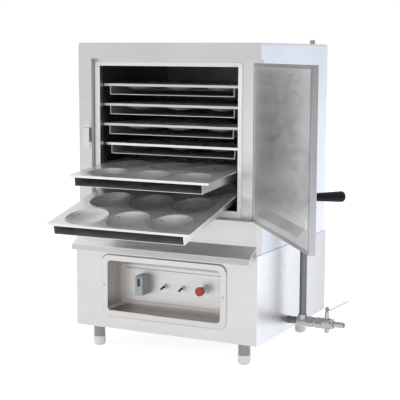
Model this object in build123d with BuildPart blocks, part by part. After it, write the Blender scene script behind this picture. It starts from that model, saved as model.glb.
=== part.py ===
from build123d import *
from math import asin, cos, radians, sin, sqrt
import os

os.makedirs("parts", exist_ok=True)

# Overall sizes, floor at z = 0, origin under the middle of the front left foot, front towards -Y
width = 600
depth = 550
leg_height = 67
base_height = 258.5
upper_height = 594
leg_inset_x = 56
leg_inset_y = 42
leg_rear_inset = 70
sheet = 1.5
thin_sheet = 1.2
run_gap = 0.3
bore_clearance = 0.05

left = -leg_inset_x
right = left + width
front = -leg_inset_y
rear = front + depth
centre_x = (left + right) / 2
centre_y = (front + rear) / 2
seam = leg_height + base_height
top = seam + upper_height

# Steam chamber body, set in from the base
side_inset = 3
rear_inset = 6
front_setback = 18
recess_depth = 20
strip_height = 96.5
band_height = 46.5
stile_width = 44
corner_radius = 8

upper_left = left + side_inset
upper_right = right - side_inset
upper_rear = rear - rear_inset
fascia_y = front + front_setback
seat_y = fascia_y + recess_depth
ledge = seam + strip_height
recess_left = upper_left + stile_width
recess_top = top - band_height

# Door opening and steam chamber, placed by the margins round them
latch_margin = 18
hinge_margin = 77
sill_margin = 21
head_margin = 21
jamb_depth = 17
chamber_side = 25
chamber_sill = 10
rear_wall = 34

opening_left = recess_left + latch_margin
opening_width = upper_right - hinge_margin - opening_left
opening_bottom = ledge + sill_margin
opening_height = recess_top - head_margin - opening_bottom
opening_centre = opening_left + opening_width / 2
opening_middle = opening_bottom + opening_height / 2
liner_width = opening_width + 2 * chamber_side
liner_height = opening_height + 2 * chamber_sill
liner_front = seat_y + jamb_depth
liner_rear = upper_rear - rear_wall
liner_bottom = opening_bottom - chamber_sill
liner_right = opening_centre + liner_width / 2
chamber_depth = liner_rear - liner_front

# Trays and their rails, the trays as wide and deep as the chamber allows
tray_levels = 6
fixed_trays = 4
top_tray_drop = 53
low_tray_rise = 61
tray_side_gap = 2.5
tray_rear_gap = 45
flange_width = 20
pan_depth = 31
lip_height = 7
cup_rows = 3
cup_margin = 8
cup_gap = 11
cup_sink = 18
steam_hole = 5
pin_radius = 5
pin_setback = 97
rail_reach = 43
rail_upstand = 18
fixed_out = [40, 41, 36, 47]
tilted_out = [240, 350]
tilted_angle = [5, 14]

level_pitch = (opening_height - top_tray_drop - low_tray_rise) / (tray_levels - 1)
top_level = opening_bottom + opening_height - top_tray_drop
plate_width = opening_width - 2 * tray_side_gap
tray_body = plate_width - 2 * flange_width
tray_length = chamber_depth - tray_rear_gap
cup_diameter = (min(tray_body, tray_length) - 2 * cup_margin - (cup_rows - 1) * cup_gap) / cup_rows
cup_pitch_x = (tray_body - 2 * cup_margin - cup_diameter) / (cup_rows - 1)
cup_pitch_y = (tray_length - 2 * cup_margin - cup_diameter) / (cup_rows - 1)
flange_stack = 2 * thin_sheet
pin_y = front + pin_setback

# Door, drawn shut and then swung open to the rest pose
door_angle = 128
hinge_setback = 13
door_thickness = 17
door_side_gap = 5
door_sill_gap = 1
door_head_gap = 9
gasket_gap = 0.4

hinge_x = right
hinge_y = front + hinge_setback
door_left = recess_left + door_side_gap
door_right = upper_right
door_bottom = ledge + door_sill_gap
door_top = recess_top - door_head_gap
door_height = door_top - door_bottom
door_face = fascia_y
door_width = door_right - door_left
door_middle = (door_left + door_right) / 2
door_centre_z = (door_bottom + door_top) / 2
door_back = door_face + door_thickness

# Water tank under the chamber floor
tank_inset = 22.5
tank_height = 84
tank_flange = 14
heater_drop = 55
tank_width = liner_width - 2 * tank_inset
tank_depth = chamber_depth - 2 * tank_inset
tank_top = liner_bottom - sheet
tank_middle_y = (liner_front + liner_rear) / 2
tank_right = opening_centre + tank_width / 2
tank_rear = tank_middle_y + tank_depth / 2

# Control opening in the base front
control_left = left + 111
control_width = 376
control_bottom = leg_height + 55
control_height = 153
control_corner = 12
control_centre = control_left + control_width / 2
control_middle = control_bottom + control_height / 2

# Pipes, steam vent and cable entry
drain_setback = 243
drain_y = front + drain_setback
drain_z = leg_height + 29
level_z = seam + 55
tank_drain_x = tank_right - 42.5
pipe_radius = 11
pipe_wall = 1.5
pipe_bore = pipe_radius - pipe_wall
hole_margin = 1
vent_radius = 7
vent_x = liner_right + vent_radius + 4
vent_y = liner_rear + 5
gland_x = left + 90
gland_z = leg_height + 60
gland_radius = 10
cut_depth = 8

# Base shell: one bent box, open underneath, with the control opening and the pipe and cable holes
with BuildPart() as base_shell:
    with Locations((centre_x, centre_y, leg_height)):
        Box(width, depth, base_height, align=(Align.CENTER, Align.CENTER, Align.MIN))
    fillet(base_shell.edges().filter_by(Axis.Z), 3)
    offset(amount=-sheet, openings=base_shell.faces().sort_by(Axis.Z)[0])
    with BuildSketch(Plane.XZ.offset(-front)) as control_opening:
        with Locations((control_centre, control_middle)):
            RectangleRounded(control_width, control_height, control_corner)
    extrude(amount=-4 * sheet, both=True, mode=Mode.SUBTRACT)
    with Locations((right, drain_y, drain_z)):
        Cylinder(pipe_radius + hole_margin, cut_depth, rotation=(0, 90, 0), mode=Mode.SUBTRACT)
    with Locations((gland_x, rear, gland_z)):
        Cylinder(gland_radius, cut_depth, rotation=(90, 0, 0), mode=Mode.SUBTRACT)
    with Locations((tank_drain_x, drain_y, seam)):
        Cylinder(pipe_radius + 4 * hole_margin, cut_depth, mode=Mode.SUBTRACT)
base_shell.part.label = "base shell"
export_step(base_shell.part, "parts/base_shell.step")

# Base floor: shallow pan with turned-up edges, closes the base from below
floor_flange = 12

with BuildPart() as base_floor:
    with BuildSketch(Plane.XY.offset(leg_height)) as floor_outline:
        with Locations((centre_x, centre_y)):
            RectangleRounded(width - 2 * sheet, depth - 2 * sheet, 2)
    extrude(amount=floor_flange)
    with BuildSketch(Plane.XY.offset(leg_height + sheet)) as floor_inside:
        with Locations((centre_x, centre_y)):
            Rectangle(width - 4 * sheet, depth - 4 * sheet)
    extrude(amount=floor_flange, mode=Mode.SUBTRACT)
base_floor.part.label = "base floor"
export_step(base_floor.part, "parts/base_floor.step")

# Legs: a square mounting plate welded on a short steel tube, one under each corner
leg_radius = 17.5
leg_wall = 2
leg_plate = 2
leg_plate_side = 66
foot_top = 28
foot_radius = 18.5
foot_rounding = 9
leg_places = [
    (left + leg_inset_x, front + leg_inset_y),
    (right - leg_inset_x, front + leg_inset_y),
    (left + leg_inset_x, rear - leg_rear_inset),
    (right - leg_inset_x, rear - leg_rear_inset),
]

with BuildPart() as leg_tubes:
    with BuildSketch(Plane.XY.offset(leg_height - leg_plate)) as leg_plates:
        with Locations(*leg_places):
            RectangleRounded(leg_plate_side, leg_plate_side, 6)
    extrude(amount=leg_plate)
    with BuildSketch(Plane.XY.offset(foot_top)) as leg_rings:
        with Locations(*leg_places):
            Circle(leg_radius)
            Circle(leg_radius - leg_wall, mode=Mode.SUBTRACT)
    extrude(amount=leg_height - leg_plate - foot_top)
leg_tubes.part.label = "leg tubes"
export_step(leg_tubes.part, "parts/leg_tubes.step")

# Feet: white plastic plugs, a spigot pushed up into each tube and a round-bottomed foot under it
spigot = 14

with BuildPart() as feet:
    with BuildSketch(Plane.XY.offset(foot_top)) as foot_tops:
        with Locations(*leg_places):
            Circle(foot_radius)
    extrude(amount=-foot_top, taper=1)
    fillet(feet.edges().group_by(Axis.Z)[0], foot_rounding)
    with BuildSketch(Plane.XY.offset(foot_top)) as spigots:
        with Locations(*leg_places):
            Circle(leg_radius - leg_wall)
    extrude(amount=spigot)
feet.part.label = "plastic feet"
export_step(feet.part, "parts/plastic_feet.step")

# Control bezel: rounded frame moulding round the control opening, with a spigot into the opening
bezel_width = 19
bezel_proud = 5

with BuildPart() as control_bezel:
    with BuildSketch(Plane.XZ.offset(-front)) as bezel_ring:
        with Locations((control_centre, control_middle)):
            RectangleRounded(control_width + 2 * bezel_width, control_height + 2 * bezel_width, 24)
            RectangleRounded(control_width - 4, control_height - 4, control_corner, mode=Mode.SUBTRACT)
    extrude(amount=bezel_proud)
    fillet(control_bezel.faces().sort_by(Axis.Y)[0].edges(), 4)
control_bezel.part.label = "control bezel"
export_step(control_bezel.part, "parts/control_bezel.step")

# Bezel screws: two pan heads, one at each end of the bezel
screw_radius = 3.5
screw_head = 1.8
screw_reach = (control_width + bezel_width) / 2
screw_slot = 5
screw_places = [(control_centre + side * screw_reach, control_middle) for side in (-1, 1)]

with BuildPart() as bezel_screws:
    with BuildSketch(Plane.XZ.offset(bezel_proud - front)) as screw_heads:
        with Locations(*screw_places):
            Circle(screw_radius)
    extrude(amount=screw_head)
    fillet(bezel_screws.faces().sort_by(Axis.Y)[0:2].edges(), 0.8)
    with BuildSketch(Plane.XZ.offset(bezel_proud + screw_head - front)) as screw_slots:
        with Locations(*screw_places):
            Rectangle(screw_slot, 1)
            Rectangle(1, screw_slot)
    extrude(amount=-screw_head / 2, mode=Mode.SUBTRACT)
bezel_screws.part.label = "bezel screws"
export_step(bezel_screws.part, "parts/bezel_screws.step")

# Control recess: open-fronted sheet box behind the opening
control_depth = 70
recess_back = front + sheet + control_depth

with BuildPart() as control_recess:
    with BuildSketch(Plane.XZ.offset(-front - sheet)) as recess_outside:
        with Locations((control_centre, control_middle)):
            RectangleRounded(control_width + 2 * sheet, control_height + 2 * sheet, control_corner + sheet)
    extrude(amount=-control_depth - sheet)
    with BuildSketch(Plane.XZ.offset(-front - sheet)) as recess_inside:
        with Locations((control_centre, control_middle)):
            RectangleRounded(control_width, control_height, control_corner)
    extrude(amount=-control_depth, mode=Mode.SUBTRACT)
control_recess.part.label = "control recess"
export_step(control_recess.part, "parts/control_recess.step")

# Control plate: pressed panel with a raised field, fixed on the back of the recess
plate_side_margin = 8
plate_edge_margin = 16
plate_drop = 5
field_margin = 10
plate_step = 2
field_step = 2
plate_span = control_width - 2 * plate_side_margin
plate_rise = control_height - 2 * plate_edge_margin
plate_middle_z = control_middle - plate_drop
field_face = recess_back - plate_step - field_step

with BuildPart() as control_plate:
    with BuildSketch(Plane.XZ.offset(-recess_back)) as plate_outline:
        with Locations((control_centre, plate_middle_z)):
            RectangleRounded(plate_span, plate_rise, 9)
    extrude(amount=plate_step)
    with BuildSketch(Plane.XZ.offset(plate_step - recess_back)) as field_outline:
        with Locations((control_centre, plate_middle_z)):
            RectangleRounded(plate_span - 2 * field_margin, plate_rise - 2 * field_margin, 6)
    extrude(amount=field_step)
    chamfer(control_plate.faces().sort_by(Axis.Y)[0].edges(), 1)
control_plate.part.label = "control plate"
export_step(control_plate.part, "parts/control_plate.step")

# Energy meter: narrow grey box standing out of the plate, with a stepped lower front
meter_width = 25
meter_depth = 40
meter_height = 59
meter_x = left + 202
meter_z = leg_height + 132
window_width = 11
window_height = 24
window_z = meter_z + 10
meter_face = field_face - meter_depth

with BuildPart() as meter_case:
    with BuildSketch(Plane.XZ.offset(-field_face)) as meter_outline:
        with Locations((meter_x, meter_z)):
            Rectangle(meter_width, meter_height)
    extrude(amount=meter_depth)
    fillet(meter_case.edges().filter_by(Axis.Y).group_by(Axis.Z)[0], 2)
    chamfer(meter_case.faces().sort_by(Axis.Y)[0].edges().group_by(Axis.Z)[-1], 6)
    with Locations((meter_x, meter_face, window_z)):
        Box(window_width, 2, window_height, mode=Mode.SUBTRACT)
    with Locations((meter_x, meter_face, meter_z - meter_height / 3)):
        Box(window_width + 2, 1, 1.5, mode=Mode.SUBTRACT)
meter_case.part.label = "meter case"
export_step(meter_case.part, "parts/meter_case.step")

# Meter window: dark display let into the face of the meter
with BuildPart() as meter_window:
    with Locations((meter_x, meter_face + 0.5, window_z)):
        Box(window_width, 1, window_height)
    chamfer(meter_window.faces().sort_by(Axis.Y)[0].edges(), 0.3)
meter_window.part.label = "meter window"
export_step(meter_window.part, "parts/meter_window.step")

# Toggle collars: round bushes with a hexagon nut on the control plate
toggle_offsets = [270, 330]
toggle_x = [left + step for step in toggle_offsets]
toggle_z = leg_height + 130
collar_radius = 6
collar_bore = 4
collar_length = 9
nut_radius = 8.5
nut_depth = 2.5

with BuildPart() as toggle_collars:
    with BuildSketch(Plane.XZ.offset(-field_face)) as toggle_nuts:
        with Locations(*[(x, toggle_z) for x in toggle_x]):
            RegularPolygon(nut_radius, 6)
            Circle(collar_bore, mode=Mode.SUBTRACT)
    extrude(amount=nut_depth)
    with BuildSketch(Plane.XZ.offset(nut_depth - field_face)) as toggle_bushes:
        with Locations(*[(x, toggle_z) for x in toggle_x]):
            Circle(collar_radius)
            Circle(collar_bore, mode=Mode.SUBTRACT)
    extrude(amount=collar_length - nut_depth)
toggle_collars.part.label = "toggle collars"
export_step(toggle_collars.part, "parts/toggle_collars.step")

# Toggle levers: a ball in the bush and a tapered bat, tipped down at rest
toggle_tip = 12.5
bat_length = 21
bat_radius = 2
bat_ball = 3
pivot_y = field_face - 4

for number, x in enumerate(toggle_x):
    with BuildPart() as toggle_lever:
        with BuildSketch(Plane.XZ) as bat_root:
            Circle(bat_radius)
        extrude(amount=bat_length, taper=-5)
        fillet(toggle_lever.faces().sort_by(Axis.Y)[0].edges(), 1.5)
        Sphere(bat_ball)
    toggle_lever.part = toggle_lever.part.moved(Location((x, pivot_y, toggle_z), (toggle_tip, 0, 0)))
    toggle_lever.part.label = f"toggle lever {number + 1}"
    export_step(toggle_lever.part, f"parts/toggle_lever_{number + 1}.step")

# Push button: chrome barrel on the plate, red cap on a stem running in the barrel
button_offset = 401
button_x = left + button_offset
button_z = leg_height + 132
barrel_radius = 12
barrel_length = 22
stem_radius = 7
cap_radius = 13.5
cap_depth = 8
button_travel = 4
cap_back = field_face - barrel_length - button_travel - 1

with BuildPart() as button_barrel:
    with BuildSketch(Plane.XZ.offset(-field_face)) as barrel_ring:
        with Locations((button_x, button_z)):
            Circle(barrel_radius)
            Circle(stem_radius + bore_clearance, mode=Mode.SUBTRACT)
    extrude(amount=barrel_length)
    chamfer(button_barrel.faces().sort_by(Axis.Y)[0].edges(), 0.8)
    with BuildSketch(Plane.XZ.offset(-field_face)) as barrel_nut:
        with Locations((button_x, button_z)):
            Circle(barrel_radius + 3.5)
            Circle(barrel_radius, mode=Mode.SUBTRACT)
    extrude(amount=4)
button_barrel.part.label = "button barrel"
export_step(button_barrel.part, "parts/button_barrel.step")

with BuildPart() as button_cap:
    with BuildSketch(Plane.XZ.offset(-cap_back)) as cap_outline:
        with Locations((button_x, button_z)):
            Circle(cap_radius)
    extrude(amount=cap_depth)
    fillet(button_cap.faces().sort_by(Axis.Y)[0].edges(), 2)
    with BuildSketch(Plane.XZ.offset(-cap_back)) as stem_outline:
        with Locations((button_x, button_z)):
            Circle(stem_radius)
    extrude(amount=-(barrel_length - 2))
button_cap.part.label = "red push button"
export_step(button_cap.part, "parts/red_push_button.step")

# Drip canopy: bent strip over the controls, its fixing flange hidden behind the slope, its lip
# turned down and its left end stopping short of the cabinet's corner
canopy_inset = 19
canopy_rise = 25
canopy_drop = 2
canopy_lip_drop = 16.5
canopy_reach = 50
canopy_lip_reach = 55
canopy_flange = 12
canopy_root = seam + canopy_rise
canopy_edge = seam - canopy_drop
canopy_lip_z = seam - canopy_lip_drop

with BuildPart() as drip_canopy:
    with BuildSketch(Plane.YZ.offset(left + canopy_inset)) as canopy_profile:
        with BuildLine() as canopy_line:
            Polyline(
                (front, canopy_root - canopy_flange),
                (front, canopy_root + sheet),
                (front - sheet, canopy_root + sheet),
                (front - canopy_reach - sheet, canopy_edge + sheet),
                (front - canopy_lip_reach - sheet, canopy_lip_z),
                (front - canopy_lip_reach, canopy_lip_z),
                (front - canopy_reach, canopy_edge),
                (front - sheet, canopy_root - sheet / 2),
                (front - sheet, canopy_root - canopy_flange),
                close=True,
            )
        make_face()
    extrude(amount=width - canopy_inset)
drip_canopy.part.label = "drip canopy"
export_step(drip_canopy.part, "parts/drip_canopy.step")

# Outer shell of the steam chamber: sides, rear and top in one sheet, cut back at the door recess
with BuildPart() as outer_shell:
    with Locations(((upper_left + upper_right) / 2, (fascia_y + sheet + upper_rear) / 2, seam)):
        shell_size = (upper_right - upper_left, upper_rear - fascia_y - sheet, upper_height)
        Box(*shell_size, align=(Align.CENTER, Align.CENTER, Align.MIN))
    fillet(outer_shell.edges().filter_by(Axis.Y).group_by(Axis.Z)[-1], corner_radius)
    fillet(outer_shell.edges().filter_by(Axis.Z).group_by(Axis.Y)[-1], corner_radius / 2)
    shell_faces = outer_shell.faces()
    offset(amount=-sheet, openings=[shell_faces.sort_by(Axis.Z)[0], shell_faces.sort_by(Axis.Y)[0]])
    with Locations((centre_x, seat_y, seam)):
        strip_cut = (width, depth, strip_height)
        Box(*strip_cut, align=(Align.CENTER, Align.MAX, Align.MIN), mode=Mode.SUBTRACT)
    with Locations((right, seat_y, ledge)):
        recess_cut = (stile_width, depth, recess_top - ledge)
        Box(*recess_cut, align=(Align.CENTER, Align.MAX, Align.MIN), mode=Mode.SUBTRACT)
    with Locations((right, drain_y, level_z)):
        Cylinder(pipe_radius + hole_margin, 2 * cut_depth, rotation=(0, 90, 0), mode=Mode.SUBTRACT)
    with Locations((vent_x, vent_y, top)):
        Cylinder(vent_radius, cut_depth, mode=Mode.SUBTRACT)
outer_shell.part.label = "outer shell"
export_step(outer_shell.part, "parts/outer_shell.step")

# Front fascia: top band and left stile in one plate, edges turned back to the door seat
return_depth = recess_depth - sheet

with BuildPart() as front_fascia:
    with BuildSketch(Plane.XZ.offset(-fascia_y)) as fascia_plate:
        with BuildLine() as fascia_outline:
            Polyline(
                (upper_left, ledge),
                (recess_left, ledge),
                (recess_left, recess_top),
                (upper_right, recess_top),
                (upper_right, top),
                (upper_left, top),
                close=True,
            )
        make_face()
    extrude(amount=-sheet)
    fillet(front_fascia.edges().filter_by(Axis.Y).group_by(Axis.Z)[-1], corner_radius)
    with Locations((recess_left, fascia_y + sheet, ledge)):
        Box(sheet, return_depth, recess_top + sheet - ledge, align=(Align.MAX, Align.MIN, Align.MIN))
    with Locations((recess_left, fascia_y + sheet, recess_top)):
        Box(upper_right - recess_left, return_depth, sheet, align=(Align.MIN, Align.MIN, Align.MIN))
    with Locations((upper_right, fascia_y + sheet, recess_top)):
        Box(sheet, return_depth, sheet, align=(Align.MAX, Align.MIN, Align.MIN), mode=Mode.SUBTRACT)
front_fascia.part.label = "front fascia"
export_step(front_fascia.part, "parts/front_fascia.step")

# Lower front strip: channel below the door, its top is the ledge of the door recess
with BuildPart() as front_strip:
    with Locations(((upper_left + upper_right) / 2, front, seam)):
        strip_depth = seat_y - front
        Box(upper_right - upper_left, strip_depth, strip_height, align=(Align.CENTER, Align.MIN, Align.MIN))
    strip_faces = front_strip.faces()
    offset(amount=-sheet, openings=[strip_faces.sort_by(Axis.Z)[0], strip_faces.sort_by(Axis.Y)[-1]])
front_strip.part.label = "front strip"
export_step(front_strip.part, "parts/front_strip.step")

# Door seat: plate at the back of the door recess with four jamb returns into the chamber
with BuildPart() as door_seat:
    with Locations((recess_left, seat_y, ledge - sheet)):
        seat_height = recess_top - ledge + 2 * sheet
        Box(upper_right - recess_left, sheet, seat_height, align=(Align.MIN, Align.MIN, Align.MIN))
    with Locations((opening_centre, seat_y, opening_middle)):
        jamb_outside = (opening_width + 2 * sheet, jamb_depth, opening_height + 2 * sheet)
        Box(*jamb_outside, align=(Align.CENTER, Align.MIN, Align.CENTER))
        Box(opening_width, 4 * jamb_depth, opening_height, mode=Mode.SUBTRACT)
    with Locations((upper_right, seat_y, ledge - sheet)):
        Box(sheet, sheet, 2 * seat_height, align=(Align.MAX, Align.MIN, Align.CENTER), mode=Mode.SUBTRACT)
door_seat.part.label = "door seat"
export_step(door_seat.part, "parts/door_seat.step")

# Door gasket: flat white frame on the seat round the opening
gasket_left = 16
gasket_right = 13
gasket_low = 18
gasket_high = 13
gasket_thickness = seat_y - door_back - gasket_gap

with BuildPart() as door_gasket:
    with BuildSketch(Plane.XZ.offset(-seat_y)) as gasket_ring:
        with Locations((opening_centre, opening_middle)):
            Rectangle(opening_width, opening_height)
        with Locations((opening_left - gasket_left, opening_bottom - gasket_low)):
            Rectangle(
                opening_width + gasket_left + gasket_right,
                opening_height + gasket_low + gasket_high,
                align=(Align.MIN, Align.MIN),
            )
        with Locations((opening_centre, opening_middle)):
            Rectangle(opening_width, opening_height, mode=Mode.SUBTRACT)
    extrude(amount=gasket_thickness)
    fillet(door_gasket.faces().sort_by(Axis.Y)[0].edges(), 1)
door_gasket.part.label = "door gasket"
export_step(door_gasket.part, "parts/door_gasket.step")

# Chamber liner: box with the door opening in its front and steam slots in its floor
slot_rows = 5
slot_columns = 4
slot_length = 50
slot_width = 8
slot_pitch_x = 80
slot_pitch_y = 60

with BuildPart() as chamber_liner:
    with Locations((opening_centre, liner_front, opening_middle)):
        Box(
            liner_width + 2 * sheet,
            chamber_depth + sheet,
            liner_height + 2 * sheet,
            align=(Align.CENTER, Align.MIN, Align.CENTER),
        )
    with Locations((opening_centre, liner_front + sheet, opening_middle)):
        Box(
            liner_width,
            chamber_depth - sheet,
            liner_height,
            align=(Align.CENTER, Align.MIN, Align.CENTER),
            mode=Mode.SUBTRACT,
        )
    with Locations((opening_centre, liner_front, opening_middle)):
        Box(opening_width, jamb_depth, opening_height, mode=Mode.SUBTRACT)
    with BuildSketch(Plane.XY.offset(liner_bottom)) as steam_slots:
        with Locations((opening_centre, tank_middle_y)):
            with GridLocations(slot_pitch_x, slot_pitch_y, slot_columns, slot_rows):
                SlotOverall(slot_length, slot_width)
    extrude(amount=-2 * sheet, mode=Mode.SUBTRACT)
chamber_liner.part.label = "chamber liner"
export_step(chamber_liner.part, "parts/chamber_liner.step")

# Insulation: slab wool round the sides, rear, top and front lip of the liner
insulation_top = top - 2 * corner_radius
insulation_gap = 4
vent_tail = 40

with BuildPart() as insulation:
    with Locations(((upper_left + upper_right) / 2, seat_y + sheet, liner_bottom - sheet)):
        Box(
            upper_right - upper_left - 2 * sheet,
            upper_rear - seat_y - 2 * sheet - insulation_gap,
            insulation_top - liner_bottom + sheet,
            align=(Align.CENTER, Align.MIN, Align.MIN),
        )
    with Locations((opening_centre, liner_front, opening_middle)):
        Box(
            liner_width + 2 * sheet,
            chamber_depth + sheet,
            liner_height + 2 * sheet,
            align=(Align.CENTER, Align.MIN, Align.CENTER),
            mode=Mode.SUBTRACT,
        )
        Box(opening_width + 2 * sheet, 4 * jamb_depth, opening_height + 2 * sheet, mode=Mode.SUBTRACT)
    with Locations((vent_x, vent_y, top)):
        vent_hole_depth = top - insulation_top + vent_tail + sheet
        Cylinder(vent_radius + hole_margin, 2 * vent_hole_depth, mode=Mode.SUBTRACT)
insulation.part.label = "insulation"
export_step(insulation.part, "parts/insulation.step")

# Water tank: open-topped box hung under the liner floor by an outward flange
heater_lead = 40
heater_hole = 5

with BuildPart() as water_tank:
    with Locations((opening_centre, tank_middle_y, tank_top)):
        Box(tank_width, tank_depth, tank_height, align=(Align.CENTER, Align.CENTER, Align.MAX))
    offset(amount=-sheet, openings=water_tank.faces().sort_by(Axis.Z)[-1])
    with BuildSketch(Plane.XY.offset(tank_top - sheet)) as tank_rim:
        with Locations((opening_centre, tank_middle_y)):
            Rectangle(tank_width + 2 * tank_flange, tank_depth + 2 * tank_flange)
            Rectangle(tank_width - 2 * sheet, tank_depth - 2 * sheet, mode=Mode.SUBTRACT)
    extrude(amount=sheet)
    with Locations((tank_drain_x, drain_y, tank_top - tank_height)):
        Cylinder(pipe_bore, cut_depth, mode=Mode.SUBTRACT)
    with Locations((tank_right, drain_y, level_z)):
        Cylinder(pipe_bore, cut_depth, rotation=(0, 90, 0), mode=Mode.SUBTRACT)
    with Locations((opening_centre, tank_rear, tank_top - heater_drop)):
        with GridLocations(2 * heater_lead, 0, 2, 1):
            Cylinder(heater_hole, cut_depth, rotation=(90, 0, 0), mode=Mode.SUBTRACT)
water_tank.part.label = "water tank"
export_step(water_tank.part, "parts/water_tank.step")

# Immersion heater: one bent tube in the tank, both ends through the tank's rear wall
heater_radius = 4.5
heater_inset = 50
heater_row = 60
heater_reach = 150
heater_bend = 20
heater_tail = 18
heater_z = tank_top - heater_drop
heater_front = tank_middle_y - tank_depth / 2 + heater_inset
heater_back = tank_rear + heater_tail

with BuildPart() as immersion_heater:
    with BuildLine() as heater_line:
        run = Polyline(
            (opening_centre - heater_lead, heater_back, heater_z),
            (opening_centre - heater_lead, heater_front + heater_row, heater_z),
            (opening_centre - heater_reach, heater_front + heater_row, heater_z),
            (opening_centre - heater_reach, heater_front, heater_z),
            (opening_centre + heater_reach, heater_front, heater_z),
            (opening_centre + heater_reach, heater_front + heater_row, heater_z),
            (opening_centre + heater_lead, heater_front + heater_row, heater_z),
            (opening_centre + heater_lead, heater_back, heater_z),
        )
        fillet(run.vertices().filter_by(lambda v: v.Y < heater_back - 1), heater_bend)
    with BuildSketch(Plane(origin=(opening_centre - heater_lead, heater_back, heater_z), z_dir=(0, -1, 0))):
        Circle(heater_radius)
    sweep(path=heater_line.line)
immersion_heater.part.label = "immersion heater"
export_step(immersion_heater.part, "parts/immersion_heater.step")

# Tank drain: tube from the tank's bottom, bent to leave through the base side
tee_reach = 44
tee_x = right + tee_reach
tee_length = 30
tee_radius = 15
drain_bend = 22

with BuildPart() as drain_pipe:
    with BuildLine() as drain_line:
        drop = Polyline(
            (tank_drain_x, drain_y, tank_top - tank_height - sheet),
            (tank_drain_x, drain_y, drain_z),
            (tee_x, drain_y, drain_z),
        )
        fillet(drop.vertices().sort_by(Axis.X)[0:2].sort_by(Axis.Z)[0], drain_bend)
    with BuildSketch(Plane.XY.offset(tank_top - tank_height - sheet)) as drain_ring:
        with Locations((tank_drain_x, drain_y)):
            Circle(pipe_radius)
            Circle(pipe_bore, mode=Mode.SUBTRACT)
    sweep(path=drain_line.line)
drain_pipe.part.label = "drain pipe"
export_step(drain_pipe.part, "parts/drain_pipe.step")

# Level pipe: upright tube from the tee to the side of the water tank
level_bend = 24

with BuildPart() as level_pipe:
    with BuildLine() as level_line:
        rise = Polyline(
            (tee_x, drain_y, drain_z + tee_radius),
            (tee_x, drain_y, level_z),
            (tank_right + sheet, drain_y, level_z),
        )
        fillet(rise.vertices().sort_by(Axis.Z)[1:3].sort_by(Axis.X)[-1], level_bend)
    with BuildSketch(Plane.XY.offset(drain_z + tee_radius)) as level_ring:
        with Locations((tee_x, drain_y)):
            Circle(pipe_radius)
            Circle(pipe_bore, mode=Mode.SUBTRACT)
    sweep(path=level_line.line)
level_pipe.part.label = "level pipe"
export_step(level_pipe.part, "parts/level_pipe.step")

# Tee: brass fitting joining the drain pipe, the level pipe and the tap
tee_neck = 6

with BuildPart() as pipe_tee:
    with Locations((tee_x, drain_y, drain_z)):
        Cylinder(tee_radius, tee_length, rotation=(0, 90, 0))
        Cylinder(tee_radius - 1, tee_radius + tee_neck, align=(Align.CENTER, Align.CENTER, Align.MIN))
        Cylinder(pipe_radius, tee_length, rotation=(0, 90, 0), mode=Mode.SUBTRACT)
        Cylinder(
            pipe_radius,
            tee_radius + tee_neck,
            align=(Align.CENTER, Align.CENTER, Align.MIN),
            mode=Mode.SUBTRACT,
        )
pipe_tee.part.label = "pipe tee"
export_step(pipe_tee.part, "parts/pipe_tee.step")

# Hexagon coupling between the tee and the tap
coupling_start = tee_x + tee_length / 2
coupling_length = 48
coupling_radius = 17
waist_radius = 14
waist_width = 6
tap_start = coupling_start + coupling_length

with BuildPart() as hex_coupling:
    with BuildSketch(Plane.YZ.offset(coupling_start)) as coupling_hex:
        with Locations((drain_y, drain_z)):
            RegularPolygon(coupling_radius, 6)
            Circle(pipe_bore, mode=Mode.SUBTRACT)
    extrude(amount=coupling_length)
    fillet(hex_coupling.edges().filter_by(Axis.X), 1)
    with BuildSketch(Plane.YZ.offset(coupling_start + (coupling_length - waist_width) / 2)) as coupling_waist:
        with Locations((drain_y, drain_z)):
            Circle(2 * coupling_radius)
            Circle(waist_radius, mode=Mode.SUBTRACT)
    extrude(amount=waist_width, mode=Mode.SUBTRACT)
hex_coupling.part.label = "hex coupling"
export_step(hex_coupling.part, "parts/hex_coupling.step")

# Tap body: drum with a bore, a ball seat and an upright neck for the stem
tap_length = 28
tap_radius = 17
ball_radius = 10.5
ball_bore = 6.5
ball_x = tap_start + tap_length / 2
neck_radius = 7
tap_stem_radius = 3
neck_height = 36
plug_radius = 7
plug_drop = 10

with BuildPart() as tap_body:
    with Locations((ball_x, drain_y, drain_z)):
        Cylinder(tap_radius, tap_length, rotation=(0, 90, 0))
        Cylinder(neck_radius, neck_height, align=(Align.CENTER, Align.CENTER, Align.MIN))
        Cylinder(ball_bore, tap_length, rotation=(0, 90, 0), mode=Mode.SUBTRACT)
        Cylinder(plug_radius, tap_radius + plug_drop, align=(Align.CENTER, Align.CENTER, Align.MAX))
        Sphere(ball_radius + run_gap, mode=Mode.SUBTRACT)
        Cylinder(
            tap_stem_radius + bore_clearance,
            neck_height,
            align=(Align.CENTER, Align.CENTER, Align.MIN),
            mode=Mode.SUBTRACT,
        )
    chamfer(tap_body.faces().filter_by(Plane.YZ).edges().filter_by(lambda e: e.radius > neck_radius * 2), 1.5)
tap_body.part.label = "tap body"
export_step(tap_body.part, "parts/tap_body.step")

# Hose nozzle: hexagon collar and plain spout on the tap's outlet
nozzle_start = tap_start + tap_length
nozzle_length = 40
nozzle_radius = 9
nozzle_bore = 6
collar_hex = 16
collar_width = 8

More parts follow.
